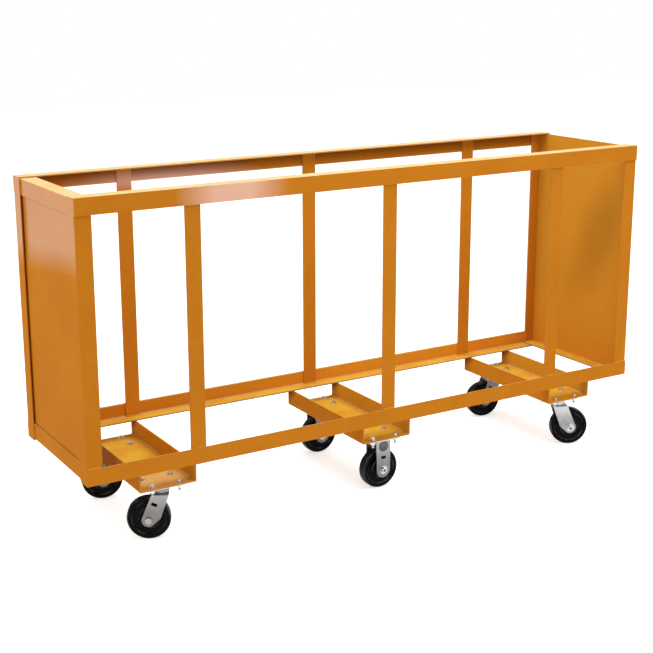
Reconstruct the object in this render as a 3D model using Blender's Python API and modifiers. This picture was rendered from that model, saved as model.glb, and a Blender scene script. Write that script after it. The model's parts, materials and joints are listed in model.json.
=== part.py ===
import math

import bmesh
import bpy
from mathutils import Matrix

# Upright pipe cart: an open-topped angle-iron frame on three channel crossmembers and six casters.
# Metres, +Z up, +X along the cart, -Y its front. The origin is on the floor under the cart's middle.

# Gap kept at every welded or bolted seam
SEAM = 0.0003

# Angle-iron frame
FRAME_LENGTH = 3.130
FRAME_WIDTH = 0.765
FRAME_HEIGHT = 1.256
ANGLE_LEG = 0.0762
ANGLE_THICKNESS = 0.00635
UPRIGHT_WIDTH = 0.0762
UPRIGHT_THICKNESS = 0.00635
UPRIGHT_SETBACK = 0.5375
PANEL_THICKNESS = 0.003

# Channel crossmembers
CHANNEL_WIDTH = 0.2794
CHANNEL_DEPTH = 0.0889
CHANNEL_THICKNESS = 0.00635
CHANNEL_INNER_BEND = 0.00635
CHANNEL_SETBACK = 0.388
CHANNEL_INSET = 0.020

# Caster plates and their bolts
SWIVEL_INSET = 0.098
RIGID_INSET = 0.093
PLATE_LENGTH = 0.184
PLATE_WIDTH = 0.127
PLATE_THICKNESS = 0.0095
PLATE_CORNER = 0.010
BOLT_EDGE_X = 0.0253
BOLT_EDGE_Y = 0.0115
BOLT_RADIUS = 0.00635
BOLT_HOLE_CLEARANCE = 0.0006
BOLT_HEAD_RADIUS = 0.011
BOLT_HEAD_HEIGHT = 0.008
BOLT_NUT_HEIGHT = 0.011
BOLT_TAIL = 0.016

# Swivel bearing
RACE_RADIUS = 0.037
RACE_HEIGHT = 0.03155
RACE_GROOVE = 0.004
KINGPIN_RADIUS = 0.0095
KINGPIN_CLEARANCE = 0.0005
KINGPIN_NUT_RADIUS = 0.0155
KINGPIN_NUT_HEIGHT = 0.012
KINGPIN_TAIL = 0.003

# Forks
FORK_THICKNESS = 0.00635
FORK_SIDE_CLEARANCE = 0.0012
CROWN_CLEARANCE = 0.0160
CROWN_FRONT = 0.036
CROWN_BACK = 0.043
SWIVEL_LEAD = 0.060
SWIVEL_END_RADIUS = 0.031
SWIVEL_HEEL = 0.056
SWIVEL_HEEL_RISE = 0.010
RIGID_CROWN_HALF = 0.041
RIGID_END_RADIUS = 0.039
SLOT_LENGTH = 0.027
SLOT_HEIGHT = 0.0145
SWIVEL_SLOT_BEFORE_AXLE = 0.028
SWIVEL_SLOT_ABOVE_AXLE = 0.076
RIGID_SLOT_ABOVE_AXLE = 0.066

# Wheels, their bearings and axles
WHEEL_RADIUS = 0.1016
WHEEL_WIDTH = 0.0508
WHEEL_EDGE = 0.004
WHEEL_RIM = 0.018
WEB_RECESS = 0.008
HUB_PROUD = 0.0159
HUB_WALL = 0.012
BEARING_WALL = 0.008
AXLE_RADIUS = 0.0095
AXLE_CLEARANCE = 0.0005
AXLE_NUT_RADIUS = 0.0165
AXLE_HEAD_HEIGHT = 0.0095
AXLE_NUT_HEIGHT = 0.012
AXLE_TAIL = 0.004

# Directions in which the swivel casters trail at rest, from +X towards +Y
TRAIL_FRONT_LEFT = math.radians(152)
TRAIL_FRONT_RIGHT = math.radians(-27)
TRAIL_REAR_LEFT = math.radians(168)
TRAIL_REAR_RIGHT = math.radians(170)

# Facets of round shapes
WHEEL_SIDES = 32
PIN_SIDES = 20
RACE_SIDES = 20
BOLT_SIDES = 8
HEX_SIDES = 6
BEND_STEPS = 3
FORK_END_STEPS = 8
WELD_DISTANCE = 0.00001
SMOOTH_ANGLE = math.radians(35)

# Heights above the floor, worked up from a wheel that stands on one of its facets
AXLE_Z = WHEEL_RADIUS * math.cos(math.pi / WHEEL_SIDES)
CROWN_LOW = AXLE_Z + WHEEL_RADIUS + CROWN_CLEARANCE
CROWN_TOP = CROWN_LOW + FORK_THICKNESS
RACE_LOW = CROWN_TOP + SEAM
PLATE_LOW = RACE_LOW + RACE_HEIGHT + SEAM
PLATE_TOP = PLATE_LOW + PLATE_THICKNESS
CHANNEL_LOW = PLATE_TOP + SEAM
FRAME_LOW = CHANNEL_LOW + CHANNEL_DEPTH + SEAM
FRAME_TOP = FRAME_LOW + FRAME_HEIGHT

# Places along and across the cart
HALF_LENGTH = FRAME_LENGTH / 2
HALF_WIDTH = FRAME_WIDTH / 2
INNER_LAP = ANGLE_THICKNESS + SEAM
SECOND_LAP = 2 * INNER_LAP
CHANNEL_X = HALF_LENGTH - CHANNEL_SETBACK
SWIVEL_Y = HALF_WIDTH - SWIVEL_INSET
RIGID_Y = HALF_WIDTH - RIGID_INSET
BOLT_X = PLATE_LENGTH / 2 - BOLT_EDGE_X
BOLT_Y = PLATE_WIDTH / 2 - BOLT_EDGE_Y

# Widths along the axle
HUB_LENGTH = WHEEL_WIDTH + 2 * HUB_PROUD
FORK_GAP = HUB_LENGTH + 2 * FORK_SIDE_CLEARANCE
FORK_WIDTH = FORK_GAP + 2 * FORK_THICKNESS

LYING_ALONG_X = (math.pi / 2, 0, math.pi / 2)
LYING_ALONG_Y = (math.pi / 2, 0, 0)
STANDING = (0, 0, 0)
ON_A_FACET = (math.pi / 2, math.pi / WHEEL_SIDES, 0)

for leftover in list(bpy.data.objects):
    bpy.data.objects.remove(leftover, do_unlink=True)

cart = bpy.data.collections.new("upright_pipe_cart")
cutters = bpy.data.collections.new("cutters")
bpy.context.scene.collection.children.link(cart)
bpy.context.scene.collection.children.link(cutters)


# Materials

def finish(name, colour, roughness, metallic):
    material = bpy.data.materials.new(name)
    material.use_nodes = True
    shader = material.node_tree.nodes["Principled BSDF"]
    shader.inputs["Base Color"].default_value = (*colour, 1.0)
    shader.inputs["Roughness"].default_value = roughness
    shader.inputs["Metallic"].default_value = metallic
    return material


enamel = finish("yellow_enamel", (0.62, 0.24, 0.02), 0.35, 0.0)
zinc = finish("zinc_plate", (0.55, 0.56, 0.57), 0.38, 1.0)
phenolic = finish("black_phenolic", (0.012, 0.012, 0.013), 0.30, 0.0)
bearing_steel = finish("bearing_steel", (0.35, 0.35, 0.36), 0.30, 1.0)


# Shape helpers

def mesh_from(name, shape):
    mesh = bpy.data.meshes.new(name)
    shape.to_mesh(mesh)
    shape.free()
    return mesh


def evaluated_mesh(source):
    cutters.objects.link(source)
    graph = bpy.context.evaluated_depsgraph_get()
    mesh = bpy.data.meshes.new_from_object(source.evaluated_get(graph))
    mesh.name = source.name
    bpy.data.objects.remove(source, do_unlink=True)
    shape = bmesh.new()
    shape.from_mesh(mesh)
    bmesh.ops.remove_doubles(shape, verts=shape.verts, dist=WELD_DISTANCE)
    bmesh.ops.recalc_face_normals(shape, faces=shape.faces)
    shape.to_mesh(mesh)
    shape.free()
    return mesh


def extruded(name, outline, depth):
    curve = bpy.data.curves.new(name, "CURVE")
    curve.dimensions = "2D"
    curve.fill_mode = "BOTH"
    curve.extrude = depth / 2
    spline = curve.splines.new("POLY")
    spline.points.add(len(outline) - 1)
    for point, (across, up) in zip(spline.points, outline):
        point.co = (across, up, 0, 1)
    spline.use_cyclic_u = True
    return evaluated_mesh(bpy.data.objects.new(name, curve))


def turned(name, profile, steps):
    mesh = bpy.data.meshes.new(name)
    edges = [(index, (index + 1) % len(profile)) for index in range(len(profile))]
    mesh.from_pydata([(radius, 0, height) for radius, height in profile], edges, [])
    source = bpy.data.objects.new(name, mesh)
    screw = source.modifiers.new("turn", "SCREW")
    screw.steps = steps
    screw.render_steps = steps
    screw.use_merge_vertices = True
    screw.merge_threshold = WELD_DISTANCE
    return evaluated_mesh(source)


def prism(name, sides, radius, low, high):
    shape = bmesh.new()
    place = Matrix.Translation((0, 0, (low + high) / 2))
    bmesh.ops.create_cone(shape, cap_ends=True, segments=sides, radius1=radius, radius2=radius,
                          depth=high - low, matrix=place)
    return mesh_from(name, shape)


def block(name, low, high):
    shape = bmesh.new()
    centre = [(a + b) / 2 for a, b in zip(low, high)]
    size = [b - a for a, b in zip(low, high)]
    bmesh.ops.create_cube(shape, size=1, matrix=Matrix.Translation(centre) @ Matrix.Diagonal((*size, 1)))
    return mesh_from(name, shape)


def combined(base, tool, operation):
    tool_object = bpy.data.objects.new("tool", tool)
    tool_object.hide_render = True
    tool_object.display_type = "WIRE"
    cutters.objects.link(tool_object)
    base_object = bpy.data.objects.new(base.name, base)
    boolean = base_object.modifiers.new("boolean", "BOOLEAN")
    boolean.operation = operation
    boolean.object = tool_object
    result = evaluated_mesh(base_object)
    bpy.data.objects.remove(tool_object, do_unlink=True)
    return result


def repeated(mesh, places):
    shape = bmesh.new()
    for place in places:
        copy = mesh.copy()
        copy.transform(Matrix.Translation(place))
        shape.from_mesh(copy)
        bpy.data.meshes.remove(copy)
    return mesh_from(mesh.name, shape)


def arc(centre, radius, start, end, steps):
    angles = [start + (end - start) * step / steps for step in range(steps + 1)]
    return [(centre[0] + radius * math.cos(angle), centre[1] + radius * math.sin(angle)) for angle in angles]


def tangent_angle(centre, radius, point, side):
    across = point[0] - centre[0]
    up = point[1] - centre[1]
    return math.atan2(up, across) + side * math.acos(radius / math.hypot(across, up))


def add(name, mesh, material, location, rotation=STANDING, parent=None):
    mesh.shade_smooth()
    mesh.set_sharp_from_angle(angle=SMOOTH_ANGLE)
    if not mesh.materials:
        mesh.materials.append(material)
    piece = bpy.data.objects.new(name, mesh)
    piece.location = location
    piece.rotation_euler = rotation
    piece.parent = parent
    cart.objects.link(piece)
    return piece


# Angle-iron frame: an angle's heel is its origin, and its legs run along the two given directions

def angle_bar(name, length, across, up, heel, rotation):
    outline = [(0, 0),
               (across * ANGLE_LEG, 0),
               (across * ANGLE_LEG, up * ANGLE_THICKNESS),
               (across * ANGLE_THICKNESS, up * ANGLE_THICKNESS),
               (across * ANGLE_THICKNESS, up * ANGLE_LEG),
               (0, up * ANGLE_LEG)]
    add(name, extruded(name, outline, length), enamel, heel, rotation)


def plate_between(name, low, high):
    centre = [(a + b) / 2 for a, b in zip(low, high)]
    half = [(b - a) / 2 for a, b in zip(low, high)]
    add(name, block(name, [-size for size in half], half), enamel, centre)


def long_rails():
    for side, inward in (("front", 1), ("rear", -1)):
        outer_y = -inward * HALF_WIDTH
        angle_bar("top_rail_" + side, FRAME_LENGTH, inward, -1, (0, outer_y, FRAME_TOP), LYING_ALONG_X)
        angle_bar("bottom_rail_" + side, FRAME_LENGTH, inward, 1, (0, outer_y, FRAME_LOW), LYING_ALONG_X)


def corner_posts():
    height = FRAME_HEIGHT - 2 * INNER_LAP
    middle_z = FRAME_LOW + FRAME_HEIGHT / 2
    for side, inward_y in (("front", 1), ("rear", -1)):
        for end, inward_x in (("left", 1), ("right", -1)):
            heel = (-inward_x * HALF_LENGTH, -inward_y * (HALF_WIDTH - INNER_LAP), middle_z)
            angle_bar("corner_post_" + side + "_" + end, height, inward_x, inward_y, heel, STANDING)


def end_rails():
    length = FRAME_WIDTH - 2 * SECOND_LAP
    heel_x = HALF_LENGTH - INNER_LAP
    low = FRAME_LOW + INNER_LAP
    top = FRAME_TOP - INNER_LAP
    angle_bar("bottom_rail_left", length, 1, 1, (-heel_x, 0, low), LYING_ALONG_Y)
    angle_bar("bottom_rail_right", length, -1, 1, (heel_x, 0, low), LYING_ALONG_Y)
    angle_bar("top_rail_left", length, 1, -1, (-heel_x, 0, top), LYING_ALONG_Y)
    # The right end is closed at the top by a flat bar on edge, with no flange over the panel
    plate_between("top_rail_right",
                  (heel_x - ANGLE_THICKNESS, -length / 2, top - ANGLE_LEG),
                  (heel_x, length / 2, top))


def uprights():
    reach = HALF_LENGTH - UPRIGHT_SETBACK
    low = FRAME_LOW + INNER_LAP
    top = FRAME_TOP - INNER_LAP
    outer = HALF_WIDTH - INNER_LAP
    middle_y = outer - UPRIGHT_THICKNESS / 2
    for side, sign in (("front", -1), ("rear", 1)):
        for place, x in (("left", -reach), ("middle", 0), ("right", reach)):
            plate_between("upright_" + side + "_" + place,
                          (x - UPRIGHT_WIDTH / 2, sign * middle_y - UPRIGHT_THICKNESS / 2, low),
                          (x + UPRIGHT_WIDTH / 2, sign * middle_y + UPRIGHT_THICKNESS / 2, top))


def end_panels():
    half_width = HALF_WIDTH - SECOND_LAP
    outer = HALF_LENGTH - SECOND_LAP
    low = FRAME_LOW + SECOND_LAP
    plate_between("end_panel_left",
                  (-outer, -half_width, low),
                  (-outer + PANEL_THICKNESS, half_width, FRAME_TOP - SECOND_LAP))
    plate_between("end_panel_right",
                  (outer - PANEL_THICKNESS, -half_width, low),
                  (outer, half_width, FRAME_TOP - INNER_LAP))


# Crossmembers: formed channels, open side up, drilled for the caster bolts

def bolt_places(centre_y, height):
    return [(x, centre_y + y, height) for x in (-BOLT_X, BOLT_X) for y in (-BOLT_Y, BOLT_Y)]


def channel_outline():
    half = CHANNEL_WIDTH / 2
    outer_bend = CHANNEL_INNER_BEND + CHANNEL_THICKNESS
    bend_x = half - outer_bend
    left = (-bend_x, outer_bend)
    right = (bend_x, outer_bend)
    outline = [(-half, CHANNEL_DEPTH)]
    outline += arc(left, outer_bend, math.pi, 1.5 * math.pi, BEND_STEPS)
    outline += arc(right, outer_bend, 1.5 * math.pi, 2 * math.pi, BEND_STEPS)
    outline += [(half, CHANNEL_DEPTH), (half - CHANNEL_THICKNESS, CHANNEL_DEPTH)]
    outline += arc(right, CHANNEL_INNER_BEND, 2 * math.pi, 1.5 * math.pi, BEND_STEPS)
    outline += arc(left, CHANNEL_INNER_BEND, 1.5 * math.pi, math.pi, BEND_STEPS)
    outline += [(-half + CHANNEL_THICKNESS, CHANNEL_DEPTH)]
    return outline


def crossmembers():
    channel = extruded("crossmember", channel_outline(), FRAME_WIDTH - 2 * CHANNEL_INSET)
    channel.transform(Matrix.Rotation(math.pi / 2, 4, "X"))
    drill = prism("bolt_holes", BOLT_SIDES, BOLT_RADIUS + BOLT_HOLE_CLEARANCE,
                  -CHANNEL_THICKNESS, 2 * CHANNEL_THICKNESS)
    channel_places = (("left", -CHANNEL_X, SWIVEL_Y),
                      ("middle", 0, RIGID_Y),
                      ("right", CHANNEL_X, SWIVEL_Y))
    for place, x, caster_y in channel_places:
        drills = repeated(drill, bolt_places(-caster_y, 0) + bolt_places(caster_y, 0))
        add("crossmember_" + place, combined(channel, drills, "DIFFERENCE"), enamel, (x, 0, CHANNEL_LOW))


# Caster plates, with their bolts and nuts: the plate's top face is at height zero

def bolt_and_nut():
    head_low = SEAM + CHANNEL_THICKNESS + SEAM
    head_top = head_low + BOLT_HEAD_HEIGHT
    nut_low = -PLATE_THICKNESS - BOLT_NUT_HEIGHT
    shank = prism("bolt", BOLT_SIDES, BOLT_RADIUS, nut_low - BOLT_TAIL, head_low + BOLT_HEAD_HEIGHT / 2)
    head = prism("bolt_head", HEX_SIDES, BOLT_HEAD_RADIUS, head_low, head_top)
    nut = prism("bolt_nut", HEX_SIDES, BOLT_HEAD_RADIUS, nut_low, -PLATE_THICKNESS / 2)
    return combined(combined(shank, head, "UNION"), nut, "UNION")


def bolted_plate():
    across = PLATE_LENGTH / 2 - PLATE_CORNER
    up = PLATE_WIDTH / 2 - PLATE_CORNER
    corners = ((across, up, 0), (-across, up, 1), (-across, -up, 2), (across, -up, 3))
    outline = []
    for x, y, quarter in corners:
        start = quarter * math.pi / 2
        outline += arc((x, y), PLATE_CORNER, start, start + math.pi / 2, BEND_STEPS)
    plate = extruded("caster_plate", outline, PLATE_THICKNESS)
    plate.transform(Matrix.Translation((0, 0, -PLATE_THICKNESS / 2)))
    return combined(plate, repeated(bolt_and_nut(), bolt_places(0, 0)), "UNION")


def plate_with_kingpin():
    nut_top = CROWN_LOW - SEAM - PLATE_TOP
    nut_low = nut_top - KINGPIN_NUT_HEIGHT
    kingpin = prism("kingpin", PIN_SIDES, KINGPIN_RADIUS, nut_low - KINGPIN_TAIL, -PLATE_THICKNESS / 2)
    nut = prism("kingpin_nut", HEX_SIDES, KINGPIN_NUT_RADIUS, nut_low, nut_top)
    return combined(bolted_plate(), combined(kingpin, nut, "UNION"), "UNION")


# Swivel race: two pressed cups with a groove between them, round the kingpin

def swivel_race():
    bore = KINGPIN_RADIUS + KINGPIN_CLEARANCE
    shoulder = RACE_RADIUS - RACE_GROOVE
    profile = [(bore, RACE_HEIGHT),
               (shoulder, RACE_HEIGHT),
               (RACE_RADIUS, RACE_HEIGHT * 3 / 4),
               (shoulder, RACE_HEIGHT / 2),
               (RACE_RADIUS, RACE_HEIGHT / 4),
               (shoulder, 0),
               (bore, 0)]
    return turned("swivel_race", profile, RACE_SIDES)


# Forks: heights are above the floor, and the wheel trails towards +X

def fork(name, crown_front, crown_back, crown_top, axle_x, end_radius, heel):
    axle = (axle_x, AXLE_Z)
    start = tangent_angle(axle, end_radius, crown_back, -1)
    end = tangent_angle(axle, end_radius, heel, 1) - 2 * math.pi
    outline = [crown_front, crown_back] + arc(axle, end_radius, start, end, FORK_END_STEPS)
    if heel != crown_front:
        outline.append(heel)
    body = extruded(name, outline, FORK_WIDTH)
    body.transform(Matrix.Rotation(math.pi / 2, 4, "X"))
    reach = crown_back[0] - crown_front[0] + axle_x + end_radius
    gap = block("fork_gap", (-reach, -FORK_GAP / 2, 0), (reach, FORK_GAP / 2, crown_top - FORK_THICKNESS))
    body = combined(body, gap, "DIFFERENCE")
    drill = prism("axle_hole", PIN_SIDES, AXLE_RADIUS + AXLE_CLEARANCE, -FORK_WIDTH, FORK_WIDTH)
    drill.transform(Matrix.Translation((axle_x, 0, AXLE_Z)) @ Matrix.Rotation(math.pi / 2, 4, "X"))
    return combined(body, drill, "DIFFERENCE")


def slot(middle_x, low_y, above_axle):
    middle_z = AXLE_Z + above_axle
    return block("fork_slot",
                 (middle_x - SLOT_LENGTH / 2, low_y, middle_z - SLOT_HEIGHT / 2),
                 (middle_x + SLOT_LENGTH / 2, FORK_WIDTH, middle_z + SLOT_HEIGHT / 2))


def swivel_fork():
    front = (-CROWN_FRONT, CROWN_TOP)
    back = (CROWN_BACK, CROWN_TOP)
    heel = (SWIVEL_LEAD - SWIVEL_HEEL, AXLE_Z + SWIVEL_HEEL_RISE)
    body = fork("swivel_fork", front, back, CROWN_TOP, SWIVEL_LEAD, SWIVEL_END_RADIUS, heel)
    drill = prism("kingpin_hole", PIN_SIDES, KINGPIN_RADIUS + KINGPIN_CLEARANCE,
                  CROWN_LOW - FORK_THICKNESS, CROWN_TOP + FORK_THICKNESS)
    body = combined(body, drill, "DIFFERENCE")
    one_leg = slot(SWIVEL_LEAD - SWIVEL_SLOT_BEFORE_AXLE, 0, SWIVEL_SLOT_ABOVE_AXLE)
    return combined(body, one_leg, "DIFFERENCE")


def rigid_fork():
    crown_top = PLATE_LOW - SEAM
    front = (-RIGID_CROWN_HALF, crown_top)
    back = (RIGID_CROWN_HALF, crown_top)
    body = fork("rigid_fork", front, back, crown_top, 0, RIGID_END_RADIUS, front)
    both_legs = slot(0, -FORK_WIDTH, RIGID_SLOT_ABOVE_AXLE)
    return combined(body, both_legs, "DIFFERENCE")


# Wheels, bearings and axles are turned about Z and laid over

def wheel():
    bore = AXLE_RADIUS + AXLE_CLEARANCE + BEARING_WALL + SEAM
    rim = WHEEL_WIDTH / 2
    web = rim - WEB_RECESS
    upper = [(bore, HUB_LENGTH / 2),
             (bore + HUB_WALL, HUB_LENGTH / 2),
             (bore + HUB_WALL, web),
             (WHEEL_RADIUS - WHEEL_RIM, web),
             (WHEEL_RADIUS - WHEEL_RIM, rim),
             (WHEEL_RADIUS - WHEEL_EDGE, rim),
             (WHEEL_RADIUS, rim - WHEEL_EDGE)]
    lower = [(radius, -height) for radius, height in reversed(upper)]
    return turned("caster_wheel", upper + lower, WHEEL_SIDES)


def wheel_bearing():
    inner = AXLE_RADIUS + AXLE_CLEARANCE
    outer = inner + BEARING_WALL
    half = HUB_LENGTH / 2
    return turned("wheel_bearing", [(inner, half), (outer, half), (outer, -half), (inner, -half)], WHEEL_SIDES)


def axle_bolt():
    face = FORK_WIDTH / 2 + SEAM
    nut_end = face + AXLE_NUT_HEIGHT
    head_end = face + AXLE_HEAD_HEIGHT
    shank = prism("axle_bolt", PIN_SIDES, AXLE_RADIUS, -face - AXLE_HEAD_HEIGHT / 2, nut_end + AXLE_TAIL)
    nut = prism("axle_nut", HEX_SIDES, AXLE_NUT_RADIUS, face, nut_end)
    head = prism("axle_head", HEX_SIDES, AXLE_NUT_RADIUS, -head_end, -face)
    return combined(combined(shank, nut, "UNION"), head, "UNION")


# Casters: four swivel ones at the corners, two rigid ones at the middle

def casters():
    wheel_mesh = wheel()
    bearing_mesh = wheel_bearing()
    axle_mesh = axle_bolt()
    swivel_plate_mesh = plate_with_kingpin()
    race_mesh = swivel_race()
    swivel_fork_mesh = swivel_fork()
    rigid_plate_mesh = bolted_plate()
    rigid_fork_mesh = rigid_fork()

    swivel_places = (("front_left", -CHANNEL_X, -SWIVEL_Y, TRAIL_FRONT_LEFT),
                     ("front_right", CHANNEL_X, -SWIVEL_Y, TRAIL_FRONT_RIGHT),
                     ("rear_left", -CHANNEL_X, SWIVEL_Y, TRAIL_REAR_LEFT),
                     ("rear_right", CHANNEL_X, SWIVEL_Y, TRAIL_REAR_RIGHT))
    for place, x, y, trail in swivel_places:
        add("caster_plate_" + place, swivel_plate_mesh, zinc, (x, y, PLATE_TOP))
        kingpin = bpy.data.objects.new("kingpin_axis_" + place, None)
        kingpin.location = (x, y, 0)
        kingpin.rotation_euler = (0, 0, trail)
        cart.objects.link(kingpin)
        axle = (SWIVEL_LEAD, 0, AXLE_Z)
        add("swivel_race_" + place, race_mesh, zinc, (0, 0, RACE_LOW), STANDING, kingpin)
        add("caster_fork_" + place, swivel_fork_mesh, zinc, (0, 0, 0), STANDING, kingpin)
        add("axle_bolt_" + place, axle_mesh, zinc, axle, LYING_ALONG_Y, kingpin)
        add("caster_wheel_" + place, wheel_mesh, phenolic, axle, ON_A_FACET, kingpin)
        add("wheel_bearing_" + place, bearing_mesh, bearing_steel, axle, ON_A_FACET, kingpin)

    for place, y in (("front_middle", -RIGID_Y), ("rear_middle", RIGID_Y)):
        axle = (0, y, AXLE_Z)
        add("caster_plate_" + place, rigid_plate_mesh, zinc, (0, y, PLATE_TOP))
        add("caster_fork_" + place, rigid_fork_mesh, zinc, (0, y, 0))
        add("axle_bolt_" + place, axle_mesh, zinc, axle, LYING_ALONG_Y)
        add("caster_wheel_" + place, wheel_mesh, phenolic, axle, ON_A_FACET)
        add("wheel_bearing_" + place, bearing_mesh, bearing_steel, axle, ON_A_FACET)


long_rails()
corner_posts()
end_rails()
uprights()
end_panels()
crossmembers()
casters()
bpy.data.collections.remove(cutters)
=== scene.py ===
import json
import math

import bmesh
import bpy
from mathutils import Matrix, Vector


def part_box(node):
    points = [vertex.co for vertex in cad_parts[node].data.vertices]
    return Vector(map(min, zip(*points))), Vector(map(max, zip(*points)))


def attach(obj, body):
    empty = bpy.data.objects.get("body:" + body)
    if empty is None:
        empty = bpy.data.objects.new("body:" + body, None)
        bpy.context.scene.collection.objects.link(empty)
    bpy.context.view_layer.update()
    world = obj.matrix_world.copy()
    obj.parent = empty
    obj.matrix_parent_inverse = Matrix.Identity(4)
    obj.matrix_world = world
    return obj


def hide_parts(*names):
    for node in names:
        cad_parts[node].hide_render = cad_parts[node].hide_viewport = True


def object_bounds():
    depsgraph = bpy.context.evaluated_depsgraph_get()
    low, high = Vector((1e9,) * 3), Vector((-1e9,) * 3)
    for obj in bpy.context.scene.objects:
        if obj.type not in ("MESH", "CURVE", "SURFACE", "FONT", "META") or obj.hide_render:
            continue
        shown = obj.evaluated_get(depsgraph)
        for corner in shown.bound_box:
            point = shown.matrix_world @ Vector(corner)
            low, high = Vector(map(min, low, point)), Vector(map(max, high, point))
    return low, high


# Upright pipe cart: welded angle iron, channel crossmembers and casters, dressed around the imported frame
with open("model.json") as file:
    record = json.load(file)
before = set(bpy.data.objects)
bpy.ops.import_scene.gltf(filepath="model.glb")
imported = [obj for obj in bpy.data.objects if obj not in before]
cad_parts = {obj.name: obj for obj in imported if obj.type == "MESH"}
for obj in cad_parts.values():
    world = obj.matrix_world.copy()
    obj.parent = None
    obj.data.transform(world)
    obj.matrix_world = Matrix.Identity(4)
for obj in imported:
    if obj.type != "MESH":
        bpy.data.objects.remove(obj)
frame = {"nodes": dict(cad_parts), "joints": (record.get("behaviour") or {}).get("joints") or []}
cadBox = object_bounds()
joints = {joint["name"]: joint for joint in frame["joints"]}
print("frame loaded:", len(frame["nodes"]), "nodes")

swivelPlaces = ("front_left", "front_right", "rear_left", "rear_right")
rigidPlaces = ("front_middle", "rear_middle")
longSides = ("front", "rear")
stations = ("left", "middle", "right")
near = 0.00001  # two places closer than this are the same
square = 0.99  # a face looks along an axis when its normal has more than this there
touchGap = 0.0003  # what touching pieces keep between them


# Working tools

def focus(piece):
    bpy.ops.object.select_all(action="DESELECT")
    bpy.context.view_layer.objects.active = piece
    piece.select_set(True)


def freshPiece(name):  # the primitive that was just added, with its place put into its mesh
    bpy.ops.object.transform_apply(location=True, rotation=True, scale=True)
    piece = bpy.context.object
    piece.name = piece.data.name = name
    return piece


def addBlock(name, low, high):
    low, high = Vector(low), Vector(high)
    bpy.ops.mesh.primitive_cube_add(size=1, location=(low + high) / 2, scale=high - low)
    return freshPiece(name)


def addRod(name, sides, radius, low, high, place=(0, 0), turn=(0, 0, 0)):
    bpy.ops.mesh.primitive_cylinder_add(vertices=sides, radius=radius, depth=high - low,
                                        location=(*place, (low + high) / 2), rotation=turn)
    return freshPiece(name)


def editing(piece):
    focus(piece)
    bpy.ops.object.mode_set(mode="EDIT")


def doneEditing():
    bpy.ops.object.mode_set(mode="OBJECT")


def pick(kind, test):
    piece = bpy.context.object
    bpy.ops.mesh.select_mode(type=kind)
    bpy.ops.mesh.select_all(action="DESELECT")
    shape = bmesh.from_edit_mesh(piece.data)
    shape.normal_update()
    for part in {"VERT": shape.verts, "EDGE": shape.edges, "FACE": shape.faces}[kind]:
        if test(part):
            part.select_set(True)
    shape.select_flush_mode()
    bmesh.update_edit_mesh(piece.data)


def along(*wanted):  # edges whose two ends both lie at the wanted (axis, value) places
    return lambda edge: all(abs(vert.co[axis] - value) < near for vert in edge.verts for axis, value in wanted)


def pickAll():
    bpy.ops.mesh.select_all(action="SELECT")


def pickLong(axis, length):  # edges that run further than this along the axis
    pick("EDGE", lambda edge: abs(edge.verts[0].co[axis] - edge.verts[1].co[axis]) > length)


def alongAny(*places):
    tests = [along(*place) for place in places]
    return lambda edge: any(test(edge) for test in tests)


def pickPair(axis, places, height):  # the edges at two places on the axis, at one height
    pick("EDGE", alongAny(*[((axis, place), (2, height)) for place in places]))


def pull(offset):
    bpy.ops.mesh.extrude_region_move(TRANSFORM_OT_translate={"value": offset})


def roundOff(radius, steps):
    bpy.ops.mesh.bevel(offset=radius, segments=steps, affect="EDGES")


def mergeSlivers(piece):  # corners and faces that a bevel or a cut left with no size
    editing(piece)
    pickAll()
    bpy.ops.mesh.remove_doubles(threshold=near)
    bpy.ops.mesh.dissolve_degenerate(threshold=near)
    doneEditing()


def modify(piece, kind, **settings):
    focus(piece)
    modifier = piece.modifiers.new(kind.lower(), kind)
    for name, value in settings.items():
        setattr(modifier, name, value)
    bpy.ops.object.modifier_apply(modifier=modifier.name)


def breakEdges(piece, width, steps=2, angle=40):
    modify(piece, "BEVEL", width=width, segments=steps, limit_method="ANGLE", angle_limit=math.radians(angle))
    mergeSlivers(piece)


def cut(piece, cutter, operation="DIFFERENCE"):
    modify(piece, "BOOLEAN", operation=operation, solver="EXACT", object=cutter)
    discard(cutter)
    mergeSlivers(piece)


def discard(*pieces):
    for piece in pieces:
        bpy.data.objects.remove(piece)


def joined(name, pieces):
    focus(pieces[0])
    for piece in pieces:
        piece.select_set(True)
    bpy.ops.object.join()
    whole = bpy.context.object
    whole.name = whole.data.name = name
    return whole


def placed(master, name, place):  # a copy with its own mesh, moved inside the mesh
    copy = master.copy()
    copy.data = master.data.copy()
    copy.name = copy.data.name = name
    bpy.context.scene.collection.objects.link(copy)
    copy.data.transform(place)
    return copy


def drawLine(name, points):  # one vertex, extruded from point to point in the XZ plane
    bpy.ops.mesh.primitive_plane_add(size=0.01, location=(0, 0, 0))
    piece = freshPiece(name)
    bpy.ops.object.mode_set(mode="EDIT")
    bpy.ops.mesh.select_mode(type="VERT")
    pickAll()
    bpy.ops.mesh.merge(type="CENTER")
    bpy.ops.transform.translate(value=(points[0][0], 0, points[0][1]))
    for start, end in zip(points, points[1:]):
        step = (end[0] - start[0], 0, end[1] - start[1])
        bpy.ops.mesh.extrude_vertices_move(TRANSFORM_OT_translate={"value": step})
    return piece


def turned(name, profile, steps):  # profile of (radius, height), spun about Z
    piece = drawLine(name, profile)
    pickAll()
    bpy.ops.mesh.spin(steps=steps, angle=math.tau, center=(0, 0, 0), axis=(0, 0, 1))
    pickAll()
    bpy.ops.mesh.remove_doubles(threshold=near)
    bpy.ops.mesh.normals_make_consistent(inside=False)
    doneEditing()
    return piece


def turnedAlike(name, upper, steps):  # a ring with the same profile above and below
    lower = [(radius, -height) for radius, height in reversed(upper)]
    return turned(name, upper + lower + upper[:1], steps)


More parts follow.
